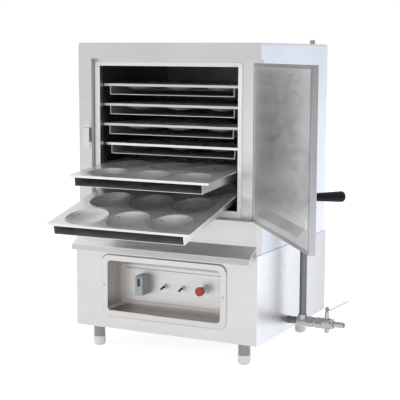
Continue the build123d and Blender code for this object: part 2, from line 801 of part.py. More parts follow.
with BuildPart() as hose_nozzle:
    with BuildSketch(Plane.YZ.offset(nozzle_start)) as nozzle_collar:
        with Locations((drain_y, drain_z)):
            RegularPolygon(collar_hex, 6)
            Circle(nozzle_bore, mode=Mode.SUBTRACT)
    extrude(amount=collar_width)
    with BuildSketch(Plane.YZ.offset(nozzle_start + collar_width)) as nozzle_spout:
        with Locations((drain_y, drain_z)):
            Circle(nozzle_radius)
            Circle(nozzle_bore, mode=Mode.SUBTRACT)
    extrude(amount=nozzle_length - collar_width)
    chamfer(hose_nozzle.faces().sort_by(Axis.X)[-1].edges(), 0.8)
hose_nozzle.part.label = "hose nozzle"
export_step(hose_nozzle.part, "parts/hose_nozzle.step")

# Tap handle: ball, stem and bent flat lever in one moving piece, the lever along the pipe when open
stem_top = neck_height + 14
lever_width = 11
lever_sheet = 2.5
lever_heel = 7
lever_flat = 9
lever_rise = 32
lever_reach = 64
stem_nut = 5
lever_seat = neck_height + 4

with BuildPart() as tap_handle:
    Sphere(ball_radius)
    Cylinder(ball_bore, 4 * ball_radius, rotation=(0, 90, 0), mode=Mode.SUBTRACT)
    with Locations((0, 0, ball_radius - 2)):
        Cylinder(tap_stem_radius, stem_top - ball_radius + 2, align=(Align.CENTER, Align.CENTER, Align.MIN))
    with BuildSketch(Plane.XZ.offset(-lever_width / 2)) as lever_profile:
        with BuildLine() as lever_outline:
            Polyline(
                (-lever_heel, lever_seat),
                (lever_flat, lever_seat),
                (lever_reach, lever_seat + lever_rise),
                (lever_reach - 1, lever_seat + lever_rise + lever_sheet),
                (lever_flat - 1, lever_seat + lever_sheet),
                (-lever_heel, lever_seat + lever_sheet),
                close=True,
            )
        make_face()
    extrude(amount=lever_width)
    with Locations((0, 0, lever_seat)):
        Cylinder(stem_nut, stem_top - lever_seat, align=(Align.CENTER, Align.CENTER, Align.MIN))
tap_handle.part = tap_handle.part.moved(Location((ball_x, drain_y, drain_z)))
tap_handle.part.label = "tap handle"
export_step(tap_handle.part, "parts/tap_handle.step")

# Steam vent: short tube through the top sheet with a domed cap
vent_cap_radius = 8.5
vent_cap_height = 14
vent_bore = 5
vent_bottom = insulation_top - vent_tail
from_below = (Align.CENTER, Align.CENTER, Align.MIN)

with BuildPart() as steam_vent:
    with Locations((vent_x, vent_y, vent_bottom)):
        Cylinder(vent_radius, top + vent_cap_height / 2 - vent_bottom, align=from_below)
    with Locations((vent_x, vent_y, top)):
        Cylinder(vent_cap_radius, vent_cap_height, align=from_below)
    fillet(steam_vent.edges().group_by(Axis.Z)[-1], 4)
    with Locations((vent_x, vent_y, vent_bottom)):
        Cylinder(vent_bore, top + vent_cap_height / 2 - vent_bottom, align=from_below, mode=Mode.SUBTRACT)
steam_vent.part.label = "steam vent"
export_step(steam_vent.part, "parts/steam_vent.step")

# Cable gland in the rear of the base
gland_hex = gland_radius + 4
gland_flange = 6
gland_dome_length = 12
gland_shank_length = 14
gland_nut_depth = 4
cable_radius = 4.5

with BuildPart() as cable_gland:
    with BuildSketch(Plane.XZ.offset(-rear)) as gland_nut:
        with Locations((gland_x, gland_z)):
            RegularPolygon(gland_hex, 6)
    extrude(amount=-gland_flange)
    with BuildSketch(Plane.XZ.offset(-rear - gland_flange)) as gland_dome:
        with Locations((gland_x, gland_z)):
            Circle(gland_radius)
    extrude(amount=-gland_dome_length, taper=12)
    with BuildSketch(Plane.XZ.offset(-rear)) as gland_shank:
        with Locations((gland_x, gland_z)):
            Circle(gland_radius)
    extrude(amount=gland_shank_length)
    with BuildSketch(Plane.XZ.offset(sheet - rear)) as gland_locknut:
        with Locations((gland_x, gland_z)):
            RegularPolygon(gland_hex, 6)
    extrude(amount=gland_nut_depth)
    with Locations((gland_x, rear, gland_z)):
        Cylinder(cable_radius, 4 * gland_shank_length, rotation=(90, 0, 0), mode=Mode.SUBTRACT)
cable_gland.part.label = "cable gland"
export_step(cable_gland.part, "parts/cable_gland.step")

# Tray rails: bent angles on both chamber walls, one pair for each level, the two lowest pairs with
# a bush welded on the front end
rail_end_gap = 2
rail_start = pin_y + pin_radius + rail_end_gap
rail_length = liner_rear - rail_start - rail_end_gap
levels = [top_level - level_pitch * n for n in range(tray_levels)]
pin_drop = flange_stack + run_gap + pin_radius
bush_radius = 9
bush_depth = 8

with BuildPart() as tray_rails:
    for level in levels:
        rail_z = level - flange_stack - run_gap - sheet
        for side in (-1, 1):
            wall = opening_centre + side * liner_width / 2
            inward = Align.MIN if side < 0 else Align.MAX
            with Locations((wall, rail_start, rail_z)):
                Box(rail_reach, rail_length, sheet, align=(inward, Align.MIN, Align.MIN))
                Box(sheet, rail_length, rail_upstand, align=(inward, Align.MIN, Align.MIN))
    for level in levels[fixed_trays:]:
        for side in (-1, 1):
            wall = opening_centre + side * liner_width / 2
            with Locations(Location((wall, pin_y, level - pin_drop), (0, -90 * side, 0))):
                Cylinder(bush_radius, bush_depth, align=(Align.CENTER, Align.CENTER, Align.MIN))
                Cylinder(
                    pin_radius + bore_clearance,
                    rail_reach,
                    align=(Align.CENTER, Align.CENTER, Align.MIN),
                    mode=Mode.SUBTRACT,
                )
tray_rails.part.label = "tray rails"
export_step(tray_rails.part, "parts/tray_rails.step")

# Rail front pins: round supports ahead of each rail, those of levels 1 to 4 fixed to the wall
with BuildPart() as fixed_pins:
    for level in levels[:fixed_trays]:
        for side in (-1, 1):
            wall = opening_centre + side * liner_width / 2
            with Locations((wall, pin_y, level - pin_drop)):
                Cylinder(
                    pin_radius,
                    rail_reach,
                    rotation=(0, -90 * side, 0),
                    align=(Align.CENTER, Align.CENTER, Align.MIN),
                )
fixed_pins.part.label = "fixed rail pins"
export_step(fixed_pins.part, "parts/fixed_rail_pins.step")

# Rail pins of levels 5 and 6: these turn in the rail bushes as their tray tips
for number in (5, 6):
    with BuildPart() as turning_pins:
        for side in (-1, 1):
            wall = opening_centre + side * (liner_width / 2 - run_gap)
            with Locations((wall, pin_y, levels[number - 1] - pin_drop)):
                Cylinder(
                    pin_radius,
                    rail_reach - run_gap,
                    rotation=(0, -90 * side, 0),
                    align=(Align.CENTER, Align.CENTER, Align.MIN),
                )
    turning_pins.part.label = f"rail pins {number}"
    export_step(turning_pins.part, f"parts/rail_pins_{number}.step")

# Idli plate: sheet with nine shallow cups, steam holes and a folded front lip, drawn with its
# front edge at y = 0 and its top at z = 0
cup_radius = cup_diameter / 2
cup_sphere = (cup_radius**2 + cup_sink**2) / (2 * cup_sink)
bulge_sphere = cup_sphere + thin_sheet
cup_centre_z = cup_sphere - cup_sink
bulge_radius = sqrt(bulge_sphere**2 - cup_centre_z**2)
half_bulge = asin(bulge_radius / bulge_sphere) / 2
plate_middle = tray_length / 2
hole_circle = cup_radius - 11
slot_overall = 14

with BuildPart() as cup_bulge:
    with BuildSketch(Plane.XZ) as bulge_profile:
        with BuildLine() as bulge_outline:
            ThreePointArc(
                (0, -cup_sink - thin_sheet),
                (bulge_sphere * sin(half_bulge), cup_centre_z - bulge_sphere * cos(half_bulge)),
                (bulge_radius, 0),
            )
            Line((bulge_radius, 0), (0, 0))
            Line((0, 0), (0, -cup_sink - thin_sheet))
        make_face()
    revolve(axis=Axis.Z)

with BuildPart() as idli_plate:
    with Locations((0, plate_middle, 0)):
        Box(plate_width, tray_length, thin_sheet, align=(Align.CENTER, Align.CENTER, Align.MAX))
    Box(plate_width, thin_sheet, lip_height, align=(Align.CENTER, Align.MIN, Align.MAX))
    with Locations((0, plate_middle, 0)):
        with GridLocations(cup_pitch_x, cup_pitch_y, cup_rows, cup_rows):
            add(cup_bulge.part)
    with Locations((0, plate_middle, cup_centre_z)):
        with GridLocations(cup_pitch_x, cup_pitch_y, cup_rows, cup_rows):
            Sphere(cup_sphere, mode=Mode.SUBTRACT)
    with BuildSketch() as steam_holes:
        with Locations((0, plate_middle)):
            with GridLocations(cup_pitch_x, cup_pitch_y, cup_rows, cup_rows):
                with PolarLocations(hole_circle, 3, start_angle=30):
                    Circle(steam_hole / 2)
            with GridLocations(cup_pitch_x, cup_pitch_y, cup_rows - 1, cup_rows - 1):
                SlotOverall(slot_overall, steam_hole)
    extrude(amount=-2 * cup_sink, mode=Mode.SUBTRACT)

# Tray pan: catches the drips under the plate, open at the front, hung by two side flanges
pan_length = tray_length - thin_sheet

with BuildPart() as tray_pan:
    with Locations((0, thin_sheet, -thin_sheet)):
        Box(tray_body, pan_length, pan_depth, align=(Align.CENTER, Align.MIN, Align.MAX))
    pan_faces = tray_pan.faces()
    offset(amount=-thin_sheet, openings=[pan_faces.sort_by(Axis.Z)[-1], pan_faces.sort_by(Axis.Y)[0]])
    with BuildSketch(Plane.XY.offset(-thin_sheet)) as pan_flanges:
        with Locations((0, tray_length - pan_length / 2)):
            Rectangle(plate_width, pan_length)
            Rectangle(tray_body - 2 * thin_sheet, pan_length, mode=Mode.SUBTRACT)
    extrude(amount=-thin_sheet)

for number in range(1, tray_levels + 1):
    level = levels[number - 1]
    if number <= fixed_trays:
        place = Location((opening_centre, seat_y + fixed_out[number - 1] - recess_depth, level))
    else:
        tip = tilted_angle[number - fixed_trays - 1]
        front_reach = tilted_out[number - fixed_trays - 1] / cos(radians(tip))
        pin_place = Location((opening_centre, pin_y, level - pin_drop), (tip, 0, 0))
        place = pin_place * Location((0, -front_reach, pin_drop))
    plate = idli_plate.part.moved(place)
    plate.label = f"idli plate {number}"
    export_step(plate, f"parts/idli_plate_{number}.step")
    pan = tray_pan.part.moved(place)
    pan.label = f"tray pan {number}"
    export_step(pan, f"parts/tray_pan_{number}.step")

# Door pieces are drawn shut and swung about the hinge line to the open rest pose
hinge_line = Axis((hinge_x, hinge_y, 0), (0, 0, 1))
pan_sheet = 1.2
hem_width = 9

# Door outer pan: face and four turned edges with a narrow inward hem
with BuildPart() as door_pan:
    with Locations((door_middle, door_face, door_bottom)):
        Box(door_width, door_thickness, door_height, align=(Align.CENTER, Align.MIN, Align.MIN))
    fillet(door_pan.faces().sort_by(Axis.Y)[0].edges(), 1.5)
    offset(amount=-pan_sheet, openings=door_pan.faces().sort_by(Axis.Y)[-1])
    with BuildSketch(Plane.XZ.offset(-door_back)) as hem_ring:
        with Locations((door_middle, door_centre_z)):
            Rectangle(door_width, door_height)
            Rectangle(door_width - 2 * hem_width, door_height - 2 * hem_width, mode=Mode.SUBTRACT)
    extrude(amount=pan_sheet)
door_pan.part = door_pan.part.rotate(hinge_line, door_angle)
door_pan.part.label = "door outer pan"
export_step(door_pan.part, "parts/door_outer_pan.step")

# Door inner panel: flat sheet let in behind the hem
with BuildPart() as door_panel:
    with Locations((door_middle, door_back - pan_sheet, door_centre_z)):
        Box(
            door_width - 2 * pan_sheet,
            pan_sheet,
            door_height - 2 * pan_sheet,
            align=(Align.CENTER, Align.MAX, Align.CENTER),
        )
door_panel.part = door_panel.part.rotate(hinge_line, door_angle)
door_panel.part.label = "door inner panel"
export_step(door_panel.part, "parts/door_inner_panel.step")

# Door insulation: slab between the two skins
with BuildPart() as door_core:
    with Locations((door_middle, door_face + pan_sheet, door_centre_z)):
        Box(
            door_width - 2 * pan_sheet - 2,
            door_thickness - 3 * pan_sheet,
            door_height - 2 * pan_sheet - 2,
            align=(Align.CENTER, Align.MIN, Align.CENTER),
        )
door_core.part = door_core.part.rotate(hinge_line, door_angle)
door_core.part.label = "door insulation"
export_step(door_core.part, "parts/door_insulation.step")

# Drip deflector: angle across the inner panel, its lip sloping away from the door
deflector_right = hinge_x - 125
deflector_left = door_left + 32
deflector_flat = 19
deflector_slope = 20
deflector_out = 18
deflector_top = door_bottom + 77
deflector_bend = deflector_top - deflector_flat
deflector_tip = deflector_bend - deflector_slope
inner_face = door_back - pan_sheet

with BuildPart() as drip_deflector:
    with BuildSketch(Plane.YZ.offset(deflector_left)) as deflector_profile:
        with BuildLine() as deflector_outline:
            Polyline(
                (inner_face, deflector_top),
                (inner_face + thin_sheet, deflector_top),
                (inner_face + thin_sheet, deflector_bend),
                (inner_face + deflector_out, deflector_tip),
                (inner_face + deflector_out - thin_sheet, deflector_tip),
                (inner_face, deflector_bend - thin_sheet),
                close=True,
            )
        make_face()
    extrude(amount=deflector_right - deflector_left)
drip_deflector.part = drip_deflector.part.rotate(hinge_line, door_angle)
drip_deflector.part.label = "drip deflector"
export_step(drip_deflector.part, "parts/drip_deflector.step")

# Hinges: two butt hinges, knuckles round the hinge line, fixed leaf on the cabinet side
hinge_inset = 84
knuckle_radius = 5
hinge_pin = 2.5
pin_head_radius = 4
pin_head = 3
knuckle_length = 20
leaf = 1.6
leaf_depth = 36
door_leaf_width = 40
leaf_margin = 6
seat_leaf_gap = 1
hinge_length = 3 * knuckle_length
hinge_heights = [door_bottom + hinge_inset, door_top - hinge_inset]

with BuildPart() as fixed_hinges:
    for z in hinge_heights:
        with Locations((hinge_x - side_inset, seat_y + seat_leaf_gap, z)):
            Box(leaf + run_gap, leaf_depth, hinge_length, align=(Align.MIN, Align.MIN, Align.CENTER))
        with Locations((hinge_x - side_inset + run_gap, hinge_y, z)):
            leaf_reach = seat_y + seat_leaf_gap - hinge_y
            Box(leaf, leaf_reach, hinge_length, align=(Align.MIN, Align.MIN, Align.CENTER))
        for end in (-1, 1):
            with Locations((hinge_x, hinge_y, z + end * knuckle_length)):
                Cylinder(knuckle_radius, knuckle_length)
        with Locations((hinge_x, hinge_y, z)):
            gap_side = 2 * knuckle_radius + 3
            Box(gap_side, gap_side, knuckle_length + 2 * run_gap, mode=Mode.SUBTRACT)
            Cylinder(hinge_pin + bore_clearance, hinge_length, mode=Mode.SUBTRACT)
fixed_hinges.part.label = "fixed hinge leaves"
export_step(fixed_hinges.part, "parts/fixed_hinge_leaves.step")

# Moving hinge leaves: flat on the door's face, middle knuckle and pin
with BuildPart() as door_hinges:
    for z in hinge_heights:
        with Locations((hinge_x, door_face, z)):
            Box(door_leaf_width, leaf, knuckle_length, align=(Align.MAX, Align.MAX, Align.CENTER))
        with Locations((hinge_x - leaf_margin, door_face, z)):
            leaf_size = (door_leaf_width - leaf_margin, leaf, hinge_length)
            Box(*leaf_size, align=(Align.MAX, Align.MAX, Align.CENTER))
        with Locations((hinge_x, hinge_y, z)):
            Cylinder(knuckle_radius, knuckle_length)
            Cylinder(hinge_pin, hinge_length + 2 * run_gap)
        for end in (-1, 1):
            with Locations((hinge_x, hinge_y, z + end * ((hinge_length + pin_head) / 2 + run_gap))):
                Cylinder(pin_head_radius, pin_head)
door_hinges.part = door_hinges.part.rotate(hinge_line, door_angle)
door_hinges.part.label = "moving hinge leaves"
export_step(door_hinges.part, "parts/moving_hinge_leaves.step")

# Latch: backplate with a bush on the door's face, near the free edge
latch_x = door_left + 48
latch_z = door_centre_z
spindle_radius = 5
backplate = 2.5
backplate_width = 30
backplate_height = 62
rivet_radius = 3.5
rivet_reach = 23
boss_radius = 13
bar_gap = 0.5
bar_thickness = 3
bar_face = door_face - backplate - bar_gap - bar_thickness
tongue_length = 60
tongue_width = 16
grip_drop = 89

with BuildPart() as latch_plate:
    with BuildSketch(Plane.XZ.offset(-door_face)) as latch_outline:
        with Locations((latch_x, latch_z)):
            RectangleRounded(backplate_width, backplate_height, 5)
            Circle(spindle_radius + bore_clearance, mode=Mode.SUBTRACT)
    extrude(amount=backplate)
    with BuildSketch(Plane.XZ.offset(backplate - door_face)) as latch_rivets:
        for end in (-1, 1):
            with Locations((latch_x, latch_z + end * rivet_reach)):
                Circle(rivet_radius)
    extrude(amount=0.2)
latch_plate.part = latch_plate.part.rotate(hinge_line, door_angle)
latch_plate.part.label = "latch plate"
export_step(latch_plate.part, "parts/latch_plate.step")

# Latch bar: tongue above the spindle, arm below it, domed spindle head
with BuildPart() as latch_bar:
    with BuildSketch(Plane.XZ.offset(-bar_face - bar_thickness)) as bar_outline:
        with Locations((latch_x, latch_z + (tongue_length - grip_drop) / 2)):
            SlotOverall(tongue_length + grip_drop + tongue_width / 2, tongue_width, rotation=90)
        with Locations((latch_x, latch_z)):
            Circle(boss_radius)
    extrude(amount=bar_thickness)
    with BuildSketch(Plane.XZ.offset(-bar_face)) as spindle_head:
        with Locations((latch_x, latch_z)):
            Circle(8)
    extrude(amount=3.5)
    fillet(latch_bar.faces().sort_by(Axis.Y)[0].edges(), 2)
    with BuildSketch(Plane.XZ.offset(-bar_face - bar_thickness)) as spindle:
        with Locations((latch_x, latch_z)):
            Circle(spindle_radius)
    extrude(amount=-(bar_gap + backplate))
latch_bar.part = latch_bar.part.rotate(hinge_line, door_angle)
latch_bar.part.label = "latch bar"
export_step(latch_bar.part, "parts/latch_bar.step")

# Latch grip: black tapered handle standing out from the lower end of the bar
grip_length = 79
grip_root = 9.25
grip_end = 13.75
grip_z = latch_z - grip_drop

with BuildPart() as latch_grip:
    with BuildSketch(Plane.XZ.offset(-bar_face)) as grip_base:
        with Locations((latch_x, grip_z)):
            Circle(grip_root)
    with BuildSketch(Plane.XZ.offset(grip_length - bar_face)) as grip_tip:
        with Locations((latch_x, grip_z)):
            Circle(grip_end)
    loft()
    fillet(latch_grip.faces().sort_by(Axis.Y)[0].edges(), 10)
latch_grip.part = latch_grip.part.rotate(hinge_line, door_angle)
latch_grip.part.label = "latch grip"
export_step(latch_grip.part, "parts/latch_grip.step")

# Latch keeper on the left stile: base plate with a joggled catch, open at the top and right
keeper_base = 1.5
keeper_width = 18
keeper_height = 84
keeper_sheet = 2
keeper_screw = 3
keeper_edge = 7
catch_rise = 20
catch_height = 43
keeper_left = left + 23
keeper_bottom = latch_z - 39.5
catch_face = bar_face - keeper_sheet - 1
catch_depth = fascia_y - keeper_base - catch_face
screw_line = keeper_left + keeper_width / 2
keeper_levels = [keeper_bottom + keeper_edge, keeper_bottom + keeper_height - keeper_edge]

with BuildPart() as latch_keeper:
    with Locations((keeper_left, fascia_y, keeper_bottom)):
        Box(keeper_width, keeper_base, keeper_height, align=(Align.MIN, Align.MAX, Align.MIN))
    with Locations((keeper_left, fascia_y - keeper_base, keeper_bottom + catch_rise)):
        Box(keeper_width, catch_depth, keeper_sheet, align=(Align.MIN, Align.MAX, Align.MIN))
        Box(keeper_sheet, catch_depth, catch_height, align=(Align.MIN, Align.MAX, Align.MIN))
    with Locations((keeper_left, catch_face, keeper_bottom + catch_rise)):
        catch_size = (keeper_width + keeper_sheet, keeper_sheet, catch_height)
        Box(*catch_size, align=(Align.MIN, Align.MIN, Align.MIN))
    chamfer(latch_keeper.edges().filter_by(Axis.Y).sort_by(Axis.X)[-1], 0.5)
    with BuildSketch(Plane.XZ.offset(keeper_base - fascia_y)) as keeper_screws:
        with Locations(*[(screw_line, level) for level in keeper_levels]):
            Circle(keeper_screw)
    extrude(amount=1.2)
latch_keeper.part.label = "latch keeper"
export_step(latch_keeper.part, "parts/latch_keeper.step")
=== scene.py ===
import bpy
from math import radians
from mathutils import Matrix, Vector

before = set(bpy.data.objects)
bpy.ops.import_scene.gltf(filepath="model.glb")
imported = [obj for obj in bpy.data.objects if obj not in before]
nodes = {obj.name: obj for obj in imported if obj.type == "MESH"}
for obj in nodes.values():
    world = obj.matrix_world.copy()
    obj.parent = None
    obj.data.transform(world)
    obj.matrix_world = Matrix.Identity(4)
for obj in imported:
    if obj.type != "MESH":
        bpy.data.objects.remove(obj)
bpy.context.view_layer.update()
bpy.ops.object.select_all(action="DESELECT")

# Camera: the photograph's own viewpoint, to the right of the cabinet's front and about as high as its
# top, with a long lens and a quarter degree of roll.
camera_place = (1.805, -2.915, 0.888)
swing_left = 26.64
look_down = 7.33
roll_angle = 0.28
bpy.ops.object.camera_add(location=camera_place)
camera = bpy.context.object
camera.name = "camera"
turn = Matrix.Rotation(radians(swing_left), 4, "Z")
tilt = Matrix.Rotation(radians(90 - look_down), 4, "X")
roll = Matrix.Rotation(radians(roll_angle), 4, "Z")
camera.rotation_euler = (turn @ tilt @ roll).to_euler()
camera.data.lens = 102.24
camera.data.sensor_width = 36
camera.data.clip_end = 50
bpy.context.scene.camera = camera
bpy.context.scene.view_settings.view_transform = "Standard"


# Studio: a white backdrop all round for the camera and for what the metal mirrors. The light that the
# same backdrop throws on matt surfaces is a trace cooler.
def seen_or_mirrored(tree):
    """Is 1 for what the camera sees and what the metal mirrors, and 0 for light on matt surfaces."""
    rays = tree.nodes.new("ShaderNodeLightPath")
    either = tree.nodes.new("ShaderNodeMath")
    either.operation = "MAXIMUM"
    tree.links.new(rays.outputs["Is Camera Ray"], either.inputs[0])
    tree.links.new(rays.outputs["Is Glossy Ray"], either.inputs[1])
    return either.outputs[0]


world = bpy.data.worlds.new("studio")
bpy.context.scene.world = world
world.use_nodes = True
studio = world.node_tree
studio.nodes.clear()
surround = studio.nodes.new("ShaderNodeBackground")
surround.inputs["Color"].default_value = (0.97, 0.98, 1.0, 1)
surround.inputs["Strength"].default_value = 1.0
backdrop = studio.nodes.new("ShaderNodeBackground")
backdrop.inputs["Color"].default_value = (1, 1, 1, 1)
backdrop.inputs["Strength"].default_value = 1.0
choose = studio.nodes.new("ShaderNodeMixShader")
studio.links.new(seen_or_mirrored(studio), choose.inputs[0])
studio.links.new(surround.outputs[0], choose.inputs[1])
studio.links.new(backdrop.outputs[0], choose.inputs[2])
studio_out = studio.nodes.new("ShaderNodeOutputWorld")
studio.links.new(choose.outputs[0], studio_out.inputs["Surface"])


# Lamps: one large soft box high on the left of the camera, which looks at the cabinet's middle, and a
# weaker and cooler one on the right, which looks at the side panel.
def face_towards(thing, target, front):
    """Turns a lamp or a card so that its front looks at a point."""
    thing.rotation_euler = (Vector(target) - thing.location).to_track_quat(front, "Y").to_euler()


def soft_box(name, place, width, watts, tint, target):
    """A square studio lamp that looks at one point of the cabinet."""
    bpy.ops.object.light_add(type="AREA", location=place)
    lamp = bpy.context.object
    lamp.name = name
    lamp.data.size = width
    lamp.data.energy = watts
    lamp.data.color = tint
    face_towards(lamp, target, "-Z")


soft_box("key_lamp", place=(-2.6, -1.6, 2.8), width=2.2, watts=18, tint=(1.0, 1.0, 1.0),
         target=(0.244, 0.233, 0.5))
soft_box("side_lamp", place=(3.244, 0.833, 1.6), width=2.0, watts=6, tint=(0.93, 0.96, 1.0),
         target=(0.544, 0.233, 0.5))

# Floor: a wide white sweep that takes a faint shadow under the feet and shows white to the camera and
# in the metal, as a lit paper sweep does.
floor_width = 40
paper_shade = (0.8, 0.8, 0.8, 1)
paper_glow = 0.66
bpy.ops.mesh.primitive_plane_add(size=floor_width, location=(0, 0, 0))
floor = bpy.context.object
floor.name = "floor"
paper = bpy.data.materials.new("white_paper")
paper.use_nodes = True
sweep = paper.node_tree
sweep.nodes.clear()
matt = sweep.nodes.new("ShaderNodeBsdfDiffuse")
matt.inputs["Color"].default_value = paper_shade
lit = sweep.nodes.new("ShaderNodeEmission")
lit.inputs["Color"].default_value = (1, 1, 1, 1)
glow = sweep.nodes.new("ShaderNodeMath")
glow.operation = "MULTIPLY"
glow.inputs[1].default_value = paper_glow
sweep.links.new(seen_or_mirrored(sweep), glow.inputs[0])
sweep.links.new(glow.outputs[0], lit.inputs["Strength"])
both = sweep.nodes.new("ShaderNodeAddShader")
sweep.links.new(matt.outputs[0], both.inputs[0])
sweep.links.new(lit.outputs[0], both.inputs[1])
sweep_out = sweep.nodes.new("ShaderNodeOutputMaterial")
sweep.links.new(both.outputs[0], sweep_out.inputs["Surface"])
floor.data.materials.append(paper)

# Flags: two large dark grey cards to the left and the right of the cabinet, as a photographer sets
# them, which draw the darker lines on tubes, folds and rims. The camera itself does not see them.
flag_width = 2.4
flag_target = (0.244, 0.233, 0.6)
card_shade = (0.12, 0.12, 0.12, 1)
for name, place in (("flag_left", (-2.956, -0.667, 1.3)), ("flag_right", (3.644, -1.367, 1.3))):
    bpy.ops.mesh.primitive_plane_add(size=flag_width, location=place)
    flag = bpy.context.object
    flag.name = name
    face_towards(flag, flag_target, "Z")
    flag.visible_camera = False
    card = bpy.data.materials.new(name + "_card")
    card.use_nodes = True
    card_shader = card.node_tree.nodes["Principled BSDF"]
    card_shader.inputs["Base Color"].default_value = card_shade
    card_shader.inputs["Roughness"].default_value = 0.9
    flag.data.materials.append(card)

# Base, front strip and door seat: satin stainless sheet, bent to a box with a floor pan under it, a
# channel below the door and a plate at the back of the door recess. The grain runs across. The
# base's right side gets a painted bluish reflection, painted light at the front and painted shade towards
# the rear.
across = (0.05, 1.0, 1.0)
even = (1.0, 1.0, 1.0)
noise_low = 0.3
noise_high = 0.7
line_detail = 3.0
haze_fineness = 4.0
haze_detail = 2.0
gloss_swing = 0.05
groove_depth = 0.0005


def surface_grain(tree, where, stretch, fineness, detail):
    """Fine lines or soft clouds that stay with the piece, longer in directions of a small stretch."""
    drawn = tree.nodes.new("ShaderNodeMapping")
    drawn.inputs["Scale"].default_value = stretch
    tree.links.new(where.outputs["Object"], drawn.inputs["Vector"])
    noise = tree.nodes.new("ShaderNodeTexNoise")
    noise.inputs["Scale"].default_value = fineness
    noise.inputs["Detail"].default_value = detail
    tree.links.new(drawn.outputs[0], noise.inputs["Vector"])
    return noise.outputs["Fac"]


def tone_range(tree, source, low, high, first, last):
    """Turns the range from low to high of a pattern or a place into the range from first to last."""
    step = tree.nodes.new("ShaderNodeMapRange")
    step.inputs["From Min"].default_value = low
    step.inputs["From Max"].default_value = high
    step.inputs["To Min"].default_value = first
    step.inputs["To Max"].default_value = last
    tree.links.new(source, step.inputs["Value"])
    return step.outputs[0]


def toned_colour(tree, tone):
    """A colour that a tone makes lighter or darker. The colour itself goes in at A."""
    colour = tree.nodes.new("ShaderNodeMix")
    colour.data_type = "RGBA"
    colour.blend_type = "MULTIPLY"
    colour.inputs["Factor"].default_value = 1.0
    tree.links.new(tone, colour.inputs["B"])
    return colour


def fine_grooves(tree, height, strength):
    """Lets a fine pattern catch the light a little, as grooves and pits do."""
    grooves = tree.nodes.new("ShaderNodeBump")
    grooves.inputs["Strength"].default_value = strength
    grooves.inputs["Distance"].default_value = groove_depth
    tree.links.new(height, grooves.inputs["Height"])
    return grooves.outputs[0]


def brushed(name, shade, rough, grain, stretch, cloud=0.03, bump=0.02, metal=1.0, haze_stretch=even):
    """Brushed or polished metal: fine grain along one direction and faint clouds."""
    steel = bpy.data.materials.new(name)
    steel.use_nodes = True
    tree = steel.node_tree
    shader = tree.nodes["Principled BSDF"]
    shader.inputs["Metallic"].default_value = metal
    where = tree.nodes.new("ShaderNodeTexCoord")
    lines = surface_grain(tree, where, stretch, grain, line_detail)
    haze = surface_grain(tree, where, haze_stretch, haze_fineness, haze_detail)
    colour = toned_colour(tree, tone_range(tree, haze, noise_low, noise_high, 1.0 - cloud, 1.0 + cloud))
    colour.inputs["A"].default_value = (*shade, 1)
    tree.links.new(colour.outputs["Result"], shader.inputs["Base Color"])
    gloss = tone_range(tree, lines, noise_low, noise_high, rough - gloss_swing, rough + gloss_swing)
    tree.links.new(gloss, shader.inputs["Roughness"])
    tree.links.new(fine_grooves(tree, lines, bump), shader.inputs["Normal"])
    return steel


def second_shade(material, axis, test, limit):
    """Gives a metal another shade where its place along one axis passes a test against a limit."""
    tree = material.node_tree
    base_colour = tree.nodes["Principled BSDF"].inputs["Base Color"]
    place = tree.nodes.new("ShaderNodeSeparateXYZ")
    tree.links.new(tree.nodes["Texture Coordinate"].outputs["Object"], place.inputs[0])
    beyond = tree.nodes.new("ShaderNodeMath")
    beyond.operation = test
    beyond.inputs[1].default_value = limit
    tree.links.new(place.outputs[axis], beyond.inputs[0])
    other = tree.nodes.new("ShaderNodeMix")
    other.data_type = "RGBA"
    tree.links.new(beyond.outputs[0], other.inputs["Factor"])
    tree.links.new(base_colour.links[0].from_socket, other.inputs["A"])
    tree.links.new(other.outputs["Result"], base_colour)
    return other.inputs["B"]


def dress(material, *names):
    """Puts one material on CAD nodes."""
    for name in names:
        slots = nodes[name].data.materials
        slots.clear()
        slots.append(material)


base_right_face = 0.5436
base_front = -0.04
base_rear = 0.50
painted_front_light = 1.12
painted_rear_shade = 0.74
satin_sheet = brushed("satin_sheet", (0.57, 0.562, 0.556), rough=0.34, grain=90, stretch=across, cloud=0.05)
# Painted light: the base's right side gets a painted bluish reflection, brightened at the front and dimmed
# towards the rear by painted shade.
painted_side_reflection = second_shade(satin_sheet, "X", "GREATER_THAN", base_right_face)
base_tree = satin_sheet.node_tree
depth = base_tree.nodes["Separate XYZ"].outputs["Y"]
painted_side_fade = toned_colour(base_tree, tone_range(base_tree, depth, base_front, base_rear, painted_front_light, painted_rear_shade))
painted_side_fade.inputs["A"].default_value = (0.66, 0.67, 0.71, 1)
base_tree.links.new(painted_side_fade.outputs["Result"], painted_side_reflection)
dress(satin_sheet, "base_shell", "base_floor", "front_strip", "door_seat")

# Front fascia: the top band and the left stile, one plate of the same sheet with its edges turned back
# to the door seat. It looks a shade darker than the base.
band_sheet = brushed("band_sheet", (0.525, 0.518, 0.522), rough=0.36, grain=90, stretch=across, cloud=0.05)
dress(band_sheet, "front_fascia")

# Outer shell: the sides, the rear and the top of the steam chamber, bent from one sheet with upright
# grain and cut back at the door recess. Its right side gets a painted bluish reflection, the others plain.
upright = (1.0, 1.0, 0.05)
shell_right_face = 0.5395
# The main colour here is a painted bluish reflection, kept on the right side. plain_shade is the sheet's
# own colour on the other sides.
shell_sheet_painted_reflection = brushed("shell_sheet_painted_reflection", (0.63, 0.67, 0.75), rough=0.36, grain=90, stretch=upright, cloud=0.05)
plain_shade = second_shade(shell_sheet_painted_reflection, "X", "LESS_THAN", shell_right_face)
plain_shade.default_value = (0.56, 0.555, 0.555, 1)
dress(shell_sheet_painted_reflection, "outer_shell")

